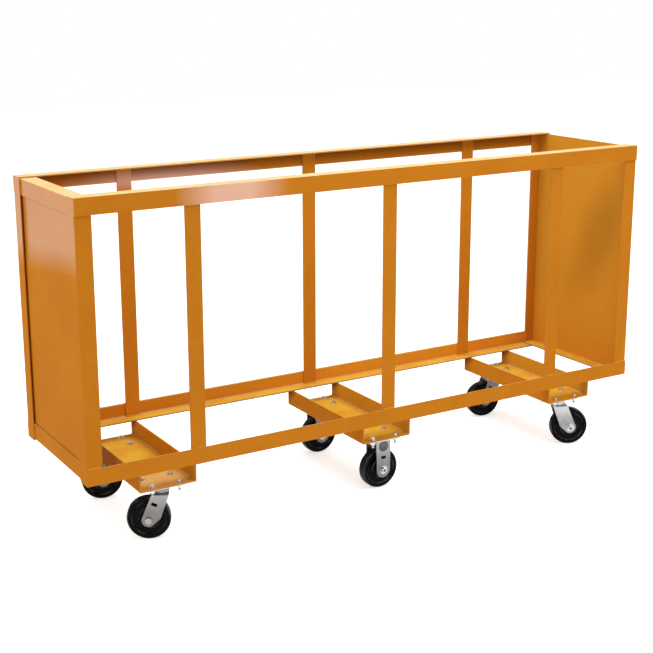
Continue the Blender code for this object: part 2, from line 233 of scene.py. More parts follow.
def arcPoints(centre, radius, start, end, steps):
    angles = [start + (end - start) * step / steps for step in range(steps + 1)]
    return [(centre[0] + radius * math.cos(angle), centre[1] + radius * math.sin(angle)) for angle in angles]


def tangentAngle(centre, radius, point, side):
    across, up = point[0] - centre[0], point[1] - centre[1]
    return math.atan2(up, across) + side * math.acos(radius / math.hypot(across, up))


def dress(piece, material, body, nodes=(), smooth=35):
    focus(piece)
    bpy.ops.object.shade_smooth_by_angle(angle=math.radians(smooth))
    modify(piece, "WEIGHTED_NORMAL", keep_sharp=True, weight=100)
    piece.data.materials.clear()
    piece.data.materials.append(material)
    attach(piece, body)
    if nodes:
        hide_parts(*nodes)


# Shader tools

def feed(node, inputs):  # each input gets a value, or a link from another node
    for socket, value in inputs.items():
        if isinstance(value, bpy.types.NodeSocket):
            node.id_data.links.new(value, node.inputs[socket])
        else:
            node.inputs[socket].default_value = value


def addNode(tree, kind, inputs):
    node = tree.nodes.new(kind)
    feed(node, inputs)
    return node


def addMath(tree, operation, *values):
    node = tree.nodes.new("ShaderNodeMath")
    node.operation = operation
    feed(node, dict(enumerate(values)))
    return node.outputs[0]


def addProduct(tree, first, *others):
    for other in others:
        first = addMath(tree, "MULTIPLY", first, other)
    return first


def addMix(tree, mask, first, second):
    node = tree.nodes.new("ShaderNodeMix")
    node.data_type = "RGBA"
    first, second = ((*colour, 1) if isinstance(colour, tuple) else colour for colour in (first, second))
    feed(node, {0: mask, 6: first, 7: second})
    return node.outputs[2]


def addRange(tree, value, low, high, lowest=0.0, highest=1.0):
    return addNode(tree, "ShaderNodeMapRange", {0: value, 1: low, 2: high, 3: lowest, 4: highest}).outputs[0]


def addBlend(tree, share, first, second):
    return addNode(tree, "ShaderNodeMix", {0: share, 2: first, 3: second}).outputs[0]


def addNoise(tree, place, size, detail):
    return addNode(tree, "ShaderNodeTexNoise", {"Vector": place, "Scale": size, "Detail": detail}).outputs[0]


def addLength(tree, vector):
    node = addNode(tree, "ShaderNodeVectorMath", {0: vector})
    node.operation = "LENGTH"
    return node.outputs["Value"]


def addAxes(tree, vector):
    return addNode(tree, "ShaderNodeSeparateXYZ", {0: vector}).outputs


def addAttribute(tree, name):
    node = tree.nodes.new("ShaderNodeAttribute")
    node.attribute_name = name
    return node.outputs["Fac"]


def newGroup(name, inputs, output):
    group = bpy.data.node_groups.new(name, "ShaderNodeTree")
    for way, sockets in (("INPUT", inputs), ("OUTPUT", [output])):
        for socket in sockets:
            group.interface.new_socket(socket, in_out=way, socket_type="NodeSocketFloat")
    return group, group.nodes.new("NodeGroupInput").outputs, group.nodes.new("NodeGroupOutput").inputs[0]


def useGroup(tree, group, **values):
    node = tree.nodes.new("ShaderNodeGroup")
    node.node_tree = group
    feed(node, values)
    return node.outputs[0]


def objectPlace(tree):
    return tree.nodes.new("ShaderNodeTexCoord").outputs["Object"]


surface = {
    "mottleDetail": (3.0, 4.0),
    "mottleEdge": (0.3, 0.7),
    "scuffStretch": ((0.06, 1.0, 1.0), (1.0, 1.0, 0.08)),
    "scuffDetail": 2.0,
    "scuffEdge": (0.66, 0.74),
    "wornSize": 5.0,
    "wornEdge": (0.48, 0.66),
    "dustFacing": (0.2, 1.0),
    "dustDetail": 2.0,
    "dustPatches": (0.30, 0.80, 0.3, 1.0),
    "grainDetail": (2.0, 1.0),
}


def makeMottle():  # broad and fine changes of tone
    group, given, result = newGroup("mottle", ("Size", "Fine", "Share"), "Tone")
    noises = [addNoise(group, objectPlace(group), given[size], detail)
              for size, detail in zip(("Size", "Fine"), surface["mottleDetail"])]
    blend = addBlend(group, given["Share"], *noises)
    group.links.new(addRange(group, blend, *surface["mottleEdge"]), result)
    return group


def makeScuffs():  # short fine marks, drawn out along two directions
    group, given, result = newGroup("scuffs", ("Size", "Amount"), "Mask")
    place = objectPlace(group)
    marks = []
    for stretch in surface["scuffStretch"]:
        drawn = addNode(group, "ShaderNodeMapping", {"Vector": place, "Scale": stretch}).outputs[0]
        noise = addNoise(group, drawn, given["Size"], surface["scuffDetail"])
        marks.append(addRange(group, noise, *surface["scuffEdge"]))
    patches = addNoise(group, place, surface["wornSize"], surface["scuffDetail"])
    worn = addRange(group, patches, *surface["wornEdge"])
    either = addMath(group, "MAXIMUM", *marks)
    group.links.new(addProduct(group, either, worn, given["Amount"]), result)
    return group


def makeDustAndSheen():  # faces that look up, in soft patches: settled dust, and in the enamel a painted sheen
    group, given, result = newGroup("dust", ("Size", "Amount"), "Mask")
    coordinates = group.nodes.new("ShaderNodeTexCoord").outputs
    upward = addRange(group, addAxes(group, coordinates["Normal"])[2], *surface["dustFacing"])
    noise = addNoise(group, coordinates["Object"], given["Size"], surface["dustDetail"])
    patches = addRange(group, noise, *surface["dustPatches"])
    group.links.new(addProduct(group, upward, patches, given["Amount"]), result)
    return group


def makeGrain():  # height of a fine surface over a slow wave
    group, given, result = newGroup("grain", ("Fine", "Wave", "Share"), "Height")
    noises = [addNoise(group, objectPlace(group), given[size], detail)
              for size, detail in zip(("Fine", "Wave"), surface["grainDetail"])]
    group.links.new(addBlend(group, given["Share"], *noises), result)
    return group


mottle, scuffs, dust, grain = makeMottle(), makeScuffs(), makeDustAndSheen(), makeGrain()


def newMaterial(name, values):
    material = bpy.data.materials.new(name)
    material.use_nodes = True
    shader = material.node_tree.nodes["Principled BSDF"]
    feed(shader, values)
    return material, material.node_tree, shader


def feedShader(tree, shader, colour, rough, height, distance, strength):
    bump = addNode(tree, "ShaderNodeBump", {"Height": height, "Distance": distance, "Strength": strength})
    feed(shader, {"Base Color": colour, "Roughness": rough, "Normal": bump.outputs[0]})


enamelFinish = {
    "deep": (0.575, 0.191, 0.013),
    "bright": (0.648, 0.228, 0.016),
    # pale colour of the painted edge highlights and top sheen, and of scuffs
    "edge": (0.670, 0.480, 0.260),
    # painted sheen colour, on faces that look up and on marked inner faces
    "film": (0.780, 0.540, 0.060),
    "edgeAmount": (0.35, 0.8),
    "filmAmount": 0.75,
    "filmRoughness": 0.1,
    "crevice": (0.190, 0.055, 0.006),
    "roughness": (0.24, 0.40),
    "gloss": 0.002,
    "coatRoughness": 0.25,
    "coatFrom": (1.23, 1.35),
    "coatLean": 0.105,
    "coatAmount": 0.7,
    "coatReach": 0.02,
    "smearCore": 0.3,
    "smearStreaks": (0.8, 1.0),
    "smears": {  # painted sheen, highlights and shade in soft patches, each by its place on the frame
        "frontTopRail": {"middle": (-0.83, -0.3825, 1.575), "reach": (0.28, 0.004, 0.25),
                         "colour": (0.93, 0.56, 0.41), "amount": 0.95},
        "rearTopRail": {"middle": (-0.82, 0.3730, 1.548), "reach": (0.58, 0.012, 0.06),
                        "colour": (0.93, 0.57, 0.47), "amount": 0.9},
        "rearBottomRail": {"middle": (0.80, 0.3760, 0.400), "reach": (1.80, 0.004, 0.08),
                           "colour": (0.88, 0.36, 0.03), "amount": 0.65},
        "rightPanelShade": {"middle": (1.5487, -0.15, 1.10), "reach": (0.004, 0.20, 0.50), "lean": 0.44,
                            "colour": (0.19, 0.055, 0.006), "amount": 0.34},
        "rightPanelFoot": {"middle": (1.5487, 0.10, 0.38), "reach": (0.004, 0.80, 0.42),
                           "colour": (0.85, 0.34, 0.025), "amount": 0.4},
        "leftChannelWall": {"middle": (-1.3167, 0.0, 0.31), "reach": (0.004, 0.24, 0.20),
                            "colour": (0.19, 0.055, 0.012), "amount": 0.8},
        "leftChannelLip": {"middle": (-1.19, -0.27, 0.2734), "reach": (0.28, 0.13, 0.004),
                           "colour": (0.88, 0.62, 0.28), "amount": 0.5},
    },
}


def addPaintedLightPatch(tree, paintedLightPatch):  # 1 at the painted patch's middle, fading out at its reach
    spot = addNode(tree, "ShaderNodeMapping", {"Vector": objectPlace(tree), "Location": paintedLightPatch["middle"],
                                               "Rotation": (paintedLightPatch.get("lean", 0), 0, 0), "Scale": paintedLightPatch["reach"]})
    spot.vector_type = "TEXTURE"
    return addRange(tree, addLength(tree, spot.outputs[0]), enamelFinish["smearCore"], 1.0, paintedLightPatch["amount"], 0.0)


def makeEnamel():
    look = enamelFinish
    values = {"Specular IOR Level": look["gloss"], "Coat Roughness": look["coatRoughness"]}
    material, tree, shader = newMaterial("cart_enamel", values)
    tone = useGroup(tree, mottle, Size=2.6, Fine=46.0, Share=0.3)
    paint = addMix(tree, tone, look["deep"], look["bright"])
    patchy = useGroup(tree, mottle, Size=9.0, Fine=120.0, Share=0.5)
    broken = addRange(tree, patchy, 0.0, 1.0, *look["edgeAmount"])
    paintedEdgeHighlight = addProduct(tree, addAttribute(tree, "edge"), broken)  # painted highlight along rounded edges, and painted sheen on the top rails' upper faces
    paint = addMix(tree, paintedEdgeHighlight, paint, look["edge"])
    marks = useGroup(tree, scuffs, Size=55.0, Amount=0.16)
    paint = addMix(tree, marks, paint, look["edge"])
    # painted sheen in soft patches on faces that look up
    settled = useGroup(tree, dust, Size=7.0, Amount=look["filmAmount"])
    settled = addProduct(tree, settled, addMath(tree, "SUBTRACT", 1.0, paintedEdgeHighlight))
    settled = addMath(tree, "MAXIMUM", settled, addAttribute(tree, "film"))  # painted light on the marked inner walls too
    paint = addMix(tree, settled, paint, look["film"])
    streaks = addRange(tree, patchy, 0.0, 1.0, *look["smearStreaks"])
    # painted sheen, highlights and shade in soft patches
    for paintedLightPatch in look["smears"].values():
        paint = addMix(tree, addProduct(tree, addPaintedLightPatch(tree, paintedLightPatch), streaks), paint, paintedLightPatch["colour"])
    paint = addMix(tree, addAttribute(tree, "crevice"), paint, look["crevice"])  # painted shade under flanges, on toes, at the feet of uprights and under overlapping edges
    rough = addRange(tree, tone, 0.0, 1.0, *look["roughness"])
    rough = addMath(tree, "MULTIPLY_ADD", settled, look["filmRoughness"], rough)
    place = addAxes(tree, objectPlace(tree))
    height = addMath(tree, "MULTIPLY_ADD", place[1], look["coatLean"], place[2])
    coat = addRange(tree, height, *look["coatFrom"], 0.0, look["coatAmount"])
    coat = addProduct(tree, coat, addAttribute(tree, "glossy"))  # the left end is glossier towards its top
    feed(shader, {"Coat Weight": coat})
    height = useGroup(tree, grain, Fine=420.0, Wave=2.4, Share=0.82)
    feedShader(tree, shader, paint, rough, height, distance=0.0016, strength=0.35)
    return material


zincFinish = {
    "dull": (0.150, 0.153, 0.157),
    "bright": (0.370, 0.375, 0.380),
    # colour of settled dust and of painted caster shade
    "stain": (0.130, 0.124, 0.115),
    "clean": (0.680, 0.685, 0.690),
    "cleanFrom": (0.140, 0.225),
    "cleanAmount": 0.6,
    "polished": (0.620, 0.620, 0.610),
    "polish": 0.7,
    "grime": (0.045, 0.043, 0.042),
    "roughness": (0.32, 0.54),
    "polishedRoughness": 0.22,
}


def makeZinc():
    look = zincFinish
    material, tree, shader = newMaterial("zinc_plating", {"Metallic": 1.0})
    tone = useGroup(tree, mottle, Size=34.0, Fine=260.0, Share=0.45)
    plating = addMix(tree, tone, look["dull"], look["bright"])
    marks = useGroup(tree, scuffs, Size=160.0, Amount=0.35)
    plating = addMix(tree, marks, plating, look["bright"])
    settled = useGroup(tree, dust, Size=60.0, Amount=0.23)
    plating = addMix(tree, settled, plating, look["stain"])
    dirt = addAttribute(tree, "dirt")  # painted shade, darker on the rear casters and on two of the front ones
    plating = addMix(tree, dirt, plating, look["stain"])
    height = addAxes(tree, objectPlace(tree))[2]
    clean = addRange(tree, height, *look["cleanFrom"], 0.0, look["cleanAmount"])  # painted highlight, growing towards the top
    clean = addProduct(tree, clean, addMath(tree, "SUBTRACT", 1.0, dirt))
    plating = addMix(tree, clean, plating, look["clean"])
    shine = addProduct(tree, addAttribute(tree, "fastener"), look["polish"])  # brighter than the pressings
    plating = addMix(tree, shine, plating, look["polished"])
    recess = addAttribute(tree, "recess")  # painted shade in the dishes, the thread ends and on the axle nuts
    plating = addMix(tree, recess, plating, look["grime"])
    rough = addRange(tree, tone, 0.0, 1.0, *look["roughness"])
    rough = addBlend(tree, shine, rough, look["polishedRoughness"])
    height = useGroup(tree, grain, Fine=1400.0, Wave=120.0, Share=0.4)
    feedShader(tree, shader, plating, rough, height, distance=0.0004, strength=0.3)
    return material


phenolicFinish = {
    "deep": (0.0012, 0.0012, 0.0013),
    "worn": (0.0035, 0.0034, 0.0034),
    "dust": (0.0600, 0.0570, 0.0530),
    "roughness": (0.10, 0.20),
    "gloss": 0.05,
    "ringPitch": 0.0016,
    # pale rings of painted highlight on the moulded side faces
    "scuff": (0.1200, 0.1200, 0.1180),
    "scuffed": (0.0475, 0.0775, 0.0975),
    "scuffReach": 0.0045,
    # patchy breakup of the painted highlight rings into arcs
    "scuffEdge": (0.30, 0.75),
    "scuffAmount": 0.7,
    "ringHeight": 0.12,
}


def makePhenolic():
    look = phenolicFinish
    material, tree, shader = newMaterial("moulded_phenolic", {"Specular IOR Level": look["gloss"]})
    tone = useGroup(tree, mottle, Size=40.0, Fine=300.0, Share=0.5)
    moulded = addMix(tree, tone, look["deep"], look["worn"])
    settled = useGroup(tree, dust, Size=50.0, Amount=0.03)
    moulded = addMix(tree, settled, moulded, look["dust"])
    radius = addAttribute(tree, "turning")  # distance from the axle, for the turning marks and the painted highlight rings
    rings = 0.0
    for middle in look["scuffed"]:
        away = addMath(tree, "ABSOLUTE", addMath(tree, "SUBTRACT", radius, middle))
        rings = addMath(tree, "ADD", rings, addRange(tree, away, 0.0, look["scuffReach"], 1.0, 0.0))
    patchy = useGroup(tree, mottle, Size=22.0, Fine=160.0, Share=0.2)
    patchy = addRange(tree, patchy, *look["scuffEdge"])
    # pale rings of painted highlight, broken into arcs
    worn = addProduct(tree, rings, patchy, look["scuffAmount"])
    moulded = addMix(tree, worn, moulded, look["scuff"])
    rough = addRange(tree, tone, 0.0, 1.0, *look["roughness"])
    ripple = addMath(tree, "SINE", addProduct(tree, radius, math.tau / look["ringPitch"]))
    height = useGroup(tree, grain, Fine=900.0, Wave=90.0, Share=0.5)
    height = addMath(tree, "MULTIPLY_ADD", ripple, look["ringHeight"], height)
    feedShader(tree, shader, moulded, rough, height, distance=0.0004, strength=0.25)
    return material


steelFinish = {"dark": (0.180, 0.180, 0.185), "light": (0.360, 0.355, 0.350), "roughness": (0.25, 0.42)}


def makeBearingSteel():
    material, tree, shader = newMaterial("oiled_steel", {"Metallic": 1.0})
    tone = useGroup(tree, mottle, Size=90.0, Fine=500.0, Share=0.5)
    steel = addMix(tree, tone, steelFinish["dark"], steelFinish["light"])
    rough = addRange(tree, tone, 0.0, 1.0, *steelFinish["roughness"])
    height = useGroup(tree, grain, Fine=1500.0, Wave=200.0, Share=0.3)
    feedShader(tree, shader, steel, rough, height, distance=0.0003, strength=0.25)
    return material


enamel, zinc, phenolic, bearingSteel = makeEnamel(), makeZinc(), makePhenolic(), makeBearingSteel()
print("finishes made")


# Welded frame

def markFaces(piece, name, amount):
    flags = piece.data.attributes.new(name, "FLOAT", "FACE")
    for face in piece.data.polygons:
        flags.data[face.index].value = float(amount(face))


def markPoints(piece, name, amount):
    flags = piece.data.attributes.new(name, "FLOAT", "POINT")
    for vert in piece.data.vertices:
        flags.data[vert.index].value = float(amount(vert.co))


def markEdges(piece, amount, worn=lambda face: 0):  # faces that lie along no axis are the rounded edges, which take the painted edge highlight
    markFaces(piece, "edge", lambda face: amount if max(map(abs, face.normal)) < square else worn(face))
    leftEnd = cadBox[0][0] + enamelFinish["coatReach"]
    markFaces(piece, "glossy", lambda face: face.normal.x < -square and face.center.x < leftEnd)


angleIron = {
    "thickness": 0.00635,
    "rootRadius": 0.0065,
    "rootSteps": 5,
    "toeRadius": 0.0040,
    "toeSteps": 4,
    "edge": 0.0012,
    "railWear": 1.0,
    "postWear": 0.3,
    "topWear": 1.4,
    "toeShade": 0.6,
    "toeFacing": 0.5,
    "rootShade": 0.8,
    # the side of each axis that the heel is on, with 0 along the bar
    "heels": {
        "top_rail_front": (0, -1, 1),
        "top_rail_rear": (0, 1, 1),
        "top_rail_left": (-1, 0, 1),
        "bottom_rail_front": (0, -1, -1),
        "bottom_rail_rear": (0, 1, -1),
        "bottom_rail_left": (-1, 0, -1),
        "bottom_rail_right": (1, 0, -1),
        "corner_post_front_left": (-1, -1, 0),
        "corner_post_front_right": (1, -1, 0),
        "corner_post_rear_left": (-1, 1, 0),
        "corner_post_rear_right": (1, 1, 0),
    },
}


def makeAngle(node, heel):
    thickness = angleIron["thickness"]
    low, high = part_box(node)
    heelLow, heelHigh = low.copy(), high.copy()
    inner, tip = Vector(), Vector()
    legs = [axis for axis in range(3) if heel[axis]]
    for axis in legs:
        if heel[axis] > 0:
            heelLow[axis] = inner[axis] = high[axis] - thickness
            tip[axis] = low[axis]
        else:
            heelHigh[axis] = inner[axis] = low[axis] + thickness
            tip[axis] = high[axis]
    middle = (heelLow + heelHigh) / 2
    bar = addBlock(node + "_angle", heelLow, heelHigh)
    editing(bar)
    for axis, other in (legs, legs[::-1]):
        inward = Vector()
        inward[axis] = -heel[axis]
        pick("FACE", lambda face: face.normal.dot(inward) > square
             and abs(face.calc_center_median()[other] - middle[other]) < thickness / 4)
        pull(inward * (high[axis] - low[axis] - thickness))
    first, second = legs
    pick("EDGE", along((first, inner[first]), (second, inner[second])))
    roundOff(angleIron["rootRadius"], angleIron["rootSteps"])
    pick("EDGE", alongAny(((first, tip[first]), (second, inner[second])),
                          ((second, tip[second]), (first, inner[first]))))
    roundOff(angleIron["toeRadius"], angleIron["toeSteps"])
    doneEditing()
    breakEdges(bar, angleIron["edge"])
    upper = node.startswith("top")
    # painted highlight on rounded edges, painted sheen on the top rails' upper faces and on the bottom rails' upper
    # toes
    wear = angleIron["postWear" if node.startswith("corner") else "railWear"]
    markEdges(bar, wear, lambda face: face.normal.z > square
              and (angleIron["topWear"] if upper else face.center.z > middle.z + thickness))
    if upper:  # painted shade under the flange, fading down the leg, and on the leg's lower toe
        under = inner[2] - angleIron["rootRadius"] - near
        markPoints(bar, "crevice", lambda place: angleIron["rootShade"] * (under < place.z < inner[2] + near
                   and heel[first] * (inner[first] - place[first]) > -near)
                   + angleIron["toeShade"] * (place.z < low.z + near))
    if node.startswith("bottom"):  # painted shade on the flange's toe, which lies in its own shade
        markFaces(bar, "crevice", lambda face: angleIron["toeShade"]
                  * (-heel[first] * face.normal[first] > angleIron["toeFacing"]
                     and abs(face.center[first] - tip[first]) < angleIron["toeRadius"]))
    dress(bar, enamel, "frame", [node])


for node, heel in angleIron["heels"].items():
    makeAngle(node, heel)
print("angle iron made")


flatBar = {
    "corner": 0.0016,
    "cornerSteps": 3,
    "end": 0.0008,
    "endShade": 0.8,
    "wear": 0.3,
    # the axis that each bar runs along
    "lengths": {"top_rail_right": 1,
                **{"upright_%s_%s" % (side, place): 2 for side in longSides for place in stations}},
}


def makeFlatBar(node, lengthAxis):
    low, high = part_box(node)
    bar = addBlock(node + "_flat", low, high)
    editing(bar)
    pickLong(lengthAxis, (high - low)[lengthAxis] / 2)
    roundOff(flatBar["corner"], flatBar["cornerSteps"])
    doneEditing()
    breakEdges(bar, flatBar["end"])
    markEdges(bar, flatBar["wear"])
    if lengthAxis == 2:  # painted shade on an upright's lower end
        markFaces(bar, "crevice", lambda face: flatBar["endShade"] * (face.center.z < low.z + flatBar["end"]))
    dress(bar, enamel, "frame", [node])


for node, lengthAxis in flatBar["lengths"].items():
    makeFlatBar(node, lengthAxis)
print("flat bars made")


endSheet = {
    "edge": 0.0007,
    "edgeSteps": 2,
    # height of the strip of painted shadow under the end rail
    "crevice": 0.005,
    "creviceAmount": 0.95,
    "wear": 0.6,
    "innerFilm": 0.15,
    "nodes": {"end_panel_left": "top_rail_left", "end_panel_right": "top_rail_right"},
}


def makeEndSheet(node, rail):
    low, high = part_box(node)
    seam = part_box(rail)[0].z  # lower edge of the end rail, which laps over the sheet
    outward = math.copysign(1, low.x)
    sheet = addBlock(node + "_sheet", low, (high.x, high.y, seam - endSheet["crevice"]))
    editing(sheet)
    pick("FACE", lambda face: face.normal.z > square)
    pull((0, 0, endSheet["crevice"]))
    pull((0, 0, high.z - seam))
    pick("EDGE", alongAny(*[[(axis, corner[axis])] for corner in (low, high) for axis in (1, 2)]))
    roundOff(endSheet["edge"], endSheet["edgeSteps"])
    doneEditing()
    markEdges(sheet, endSheet["wear"])
    # painted sheen on the sheet's inner face
    markFaces(sheet, "film", lambda face: endSheet["innerFilm"] * (face.normal.x * outward < -square))
    # painted shadow on the outer face, just under the end rail's lower edge
    markFaces(sheet, "crevice", lambda face: endSheet["creviceAmount"]
              * (face.normal.x * outward > square and seam - endSheet["crevice"] < face.center.z < seam))
    dress(sheet, enamel, "frame", [node])


for node, rail in endSheet["nodes"].items():
    makeEndSheet(node, rail)
print("end sheets made")


# Channel crossmembers

channel = {
    "thickness": 0.00635,
    "outerBend": 0.0127,
    "innerBend": 0.00635,
    "bendSteps": 7,
    "edge": 0.0009,
    "hole": 0.0071,
    "holeSides": 20,
    "wallFilm": 0.4,
    "wear": 1.0,
    "shadeReach": 0.10,
    "endShade": 1.6,
    "nodes": {
        "crossmember_left": ("front_left", "rear_left"),
        "crossmember_middle": ("front_middle", "rear_middle"),
        "crossmember_right": ("front_right", "rear_right"),
    },
}
casterBolt = {"x": 0.0667, "y": 0.0520}
boltOffsets = [(x * casterBolt["x"], y * casterBolt["y"]) for x in (-1, 1) for y in (-1, 1)]


def casterCentre(place):
    name = "swivel_turn_" + place if place in swivelPlaces else "wheel_roll_" + place
    return Vector(joints[name]["pos_m"])


def drillBolts(piece, spots, low, high):
    drills = [addRod("drill", channel["holeSides"], channel["hole"], low, high, spot) for spot in spots]
    cut(piece, joined("drills", drills))


def boltPlaces(place):
    centre = casterCentre(place)
    return [(centre.x + x, centre.y + y) for x, y in boltOffsets]


def makeChannel(node, places):
    thickness = channel["thickness"]
    low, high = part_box(node)
    middle = (low + high) / 2
    heelHigh = Vector((low.x + thickness, high.y, low.z + thickness))
    bar = addBlock(node + "_channel", low, heelHigh)
    editing(bar)
    pick("FACE", lambda face: face.normal.x > square)
    pull((high.x - low.x - 2 * thickness, 0, 0))  # web
    pull((thickness, 0, 0))  # far heel
    pick("FACE", lambda face: face.normal.z > square and abs(face.calc_center_median().x - middle.x) > thickness)
    pull((0, 0, high.z - low.z - thickness))  # the two flanges
    pickPair(0, (low.x, high.x), low.z)
    roundOff(channel["outerBend"], channel["bendSteps"])
    pickPair(0, (low.x + thickness, high.x - thickness), heelHigh.z)
    roundOff(channel["innerBend"], channel["bendSteps"])
    pickLong(1, channel["shadeReach"])
    bpy.ops.mesh.subdivide(number_cuts=1)
    pick("VERT", lambda vert: abs(vert.co.y - middle.y) < near)
    rearward = high.y - middle.y - channel["shadeReach"]  # to where the rear end's shade starts
    bpy.ops.transform.translate(value=(0, rearward, 0))
    doneEditing()
    breakEdges(bar, channel["edge"])
    spots = [spot for place in places for spot in boltPlaces(place)]
    drillBolts(bar, spots, low.z - thickness, heelHigh.z + thickness)
    markEdges(bar, channel["wear"])
    # painted light on the walls' inner faces
    markFaces(bar, "film", lambda face: channel["wallFilm"]
              * (face.normal.x * math.copysign(1, middle.x - face.center.x) > square))
    # painted shade on the walls' rear ends, under the rear rail, stronger towards the top
    markPoints(bar, "crevice", lambda place: channel["endShade"] * (place.y > high.y - 2 * channel["edge"])
               * max(0, place.z - heelHigh.z) / (high.z - heelHigh.z))
    dress(bar, enamel, "frame", [node], smooth=20)


for node, places in channel["nodes"].items():
    makeChannel(node, places)
print("crossmembers made")


# Weld beads, painted over with the frame

weldBead = {
    "sides": 10,
    "ripples": 12,
    "swell": 1.22,
    "endScale": 0.45,
    "radius": 0.0042,
    "inset": 0.004,
    "stitches": (-0.26, 0.0, 0.26),
    "stitchHalf": 0.03,
}


def makeBeadMaster():  # of length and radius 1
    half = 0.5
    bead = addRod("bead", weldBead["sides"], 1, -half, half, turn=(0, math.pi / 2, 0))
    editing(bead)
    pickLong(0, half)
    rings = 2 * weldBead["ripples"]
    bpy.ops.mesh.subdivide(number_cuts=rings - 1)
    pick("VERT", lambda vert: round((vert.co.x + half) * rings) % 2 == 1)
    bpy.ops.transform.resize(value=(1, weldBead["swell"], weldBead["swell"]))
    pick("VERT", lambda vert: abs(vert.co.x) > half - near)
    bpy.ops.transform.resize(value=(1, weldBead["endScale"], weldBead["endScale"]))
    doneEditing()
    return bead


def weldRun(start, end):
    start, end = Vector(start), Vector(end)
    run = end - start
    turn = run.to_track_quat("X", "Z").to_matrix().to_4x4()
    length = run.length - 2 * weldBead["inset"]
    size = Matrix.Diagonal((length, weldBead["radius"], weldBead["radius"], 1))
    return Matrix.Translation((start + end) / 2) @ turn @ size


def longSideRuns(side, sign):
    bottomLow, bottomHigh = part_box("bottom_rail_" + side)
    topLow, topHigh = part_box("top_rail_" + side)
    thickness = angleIron["thickness"]
    members = ["upright_%s_%s" % (side, place) for place in stations]
    members += ["corner_post_%s_%s" % (side, end) for end in ("left", "right")]
    legFace = bottomLow.y + thickness if sign < 0 else bottomHigh.y - thickness  # inner face of the rails' legs
    for member in members:
        low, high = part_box(member)
        for z in (bottomHigh.z, topLow.z):
            yield weldRun((low.x, legFace, z), (high.x, legFace, z))
        if member.startswith("upright"):  # foot and head, inside the rails
            innerFace = high.y if sign < 0 else low.y
            for z in (bottomLow.z + thickness, topHigh.z - thickness):
                yield weldRun((low.x, innerFace, z), (high.x, innerFace, z))


def endRuns(end, sign):
    railLow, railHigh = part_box("bottom_rail_" + end)
    capLow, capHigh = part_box("top_rail_" + end)
    outer = railLow.x if sign < 0 else railHigh.x
    sheetLow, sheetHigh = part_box("end_panel_" + end)
    inner = sheetHigh.x if sign < 0 else sheetLow.x
    for side, toe in (("front", 1), ("rear", 0)):
        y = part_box("corner_post_%s_%s" % (side, end))[toe].y
        yield weldRun((outer, y, railLow.z), (outer, y, railHigh.z))
        yield weldRun((outer, y, capLow.z), (outer, y, capHigh.z))
    flange = railLow.z + angleIron["thickness"]
    for y in weldBead["stitches"]:  # along the foot of the sheet
        yield weldRun((inner, y - weldBead["stitchHalf"], flange), (inner, y + weldBead["stitchHalf"], flange))


def crossmemberRuns():
    for node in channel["nodes"]:
        low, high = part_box(node)
        for side in longSides:
            railLow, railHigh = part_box("bottom_rail_" + side)
            for x in (low.x, high.x):
                start, end = max(low.y, railLow.y), min(high.y, railHigh.y)
                yield weldRun((x, start, high.z), (x, end, high.z))


weldSets = {
    "weld_beads_front": longSideRuns("front", -1),
    "weld_beads_rear": longSideRuns("rear", 1),
    "weld_beads_left": endRuns("left", -1),
    "weld_beads_right": endRuns("right", 1),
    "weld_beads_crossmembers": crossmemberRuns(),
}
beadMaster = makeBeadMaster()
for name, runs in weldSets.items():
    beads = joined(name, [placed(beadMaster, "bead_run", run) for run in runs])
    dress(beads, enamel, "frame", smooth=60)
discard(beadMaster)
print("weld beads made")


# Caster plates, bolts and kingpins

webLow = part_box("crossmember_middle")[0].z
webTop = webLow + channel["thickness"]
plateTop = webLow - touchGap
casterPlate = {
    "length": 0.184,
    "width": 0.127,
    "thickness": 0.0095,
    "corner": 0.010,
    "cornerSteps": 6,
    "edge": 0.0009,
    "drillReach": 0.01,
}
plateLow = plateTop - casterPlate["thickness"]


def makePlateMaster():
    across, deep = casterPlate["length"] / 2, casterPlate["width"] / 2
    plate = addBlock("plate", (-across, -deep, plateLow), (across, deep, plateTop))
    editing(plate)
    pickLong(2, casterPlate["thickness"] / 2)
    roundOff(casterPlate["corner"], casterPlate["cornerSteps"])
    doneEditing()
    drillBolts(plate, boltOffsets, plateLow - casterPlate["drillReach"], plateTop + casterPlate["drillReach"])
    breakEdges(plate, casterPlate["edge"])
    return plate


# sizes of hexagons, threads and washers, as shares of their radius or height
hexagon = {"flat": 0.88, "slope": 0.18, "over": 1.05, "turnSteps": 36}
thread = {"root": 0.86, "plain": 0.35, "taper": 0.3, "tip": 0.6}
washer = {"soft": 0.25, "bore": 0.95}


def makeHex(name, radius, low, high, chamfer):  # a hexagon with its corners turned off at the given ends
    nut = addRod(name, 6, radius, low, high)
    flat, over, slope = (radius * hexagon[share] for share in ("flat", "over", "slope"))
    cone = flat - (over - flat) / 2  # the cone runs past the end, so that no two faces share a plane
    above, below = high + slope / 2, low - slope / 2
    top = [(cone, above), (over, high - slope)] if "top" in chamfer else [(over, above)]
    bottom = [(over, low + slope), (cone, below)] if "bottom" in chamfer else [(over, below)]
    cut(nut, turned("chamfer", [(0, above)] + top + bottom + [(0, below)], hexagon["turnSteps"]), "INTERSECT")
    return nut


def threadProfile(radius, low, high, pitch):  # ridges from the top down, with a tapered point
    points = []
    height = high
    root = radius * thread["root"]
    while height - pitch > low + radius * thread["plain"]:
        points += [(radius, height), (root, height - pitch / 2)]
        height -= pitch
    return points + [(root, low + radius * thread["taper"]), (radius * thread["tip"], low), (0, low)]


hexBolt = {
    "radius": 0.00635,
    "pitch": 0.00195,
    "turnSteps": 16,
    "headRadius": 0.0110,
    "headHeight": 0.0080,
    "washerRadius": 0.0158,
    "washerHeight": 0.0024,
    "washerSteps": 32,
    "nutHeight": 0.0110,
    "tail": 0.0160,
}


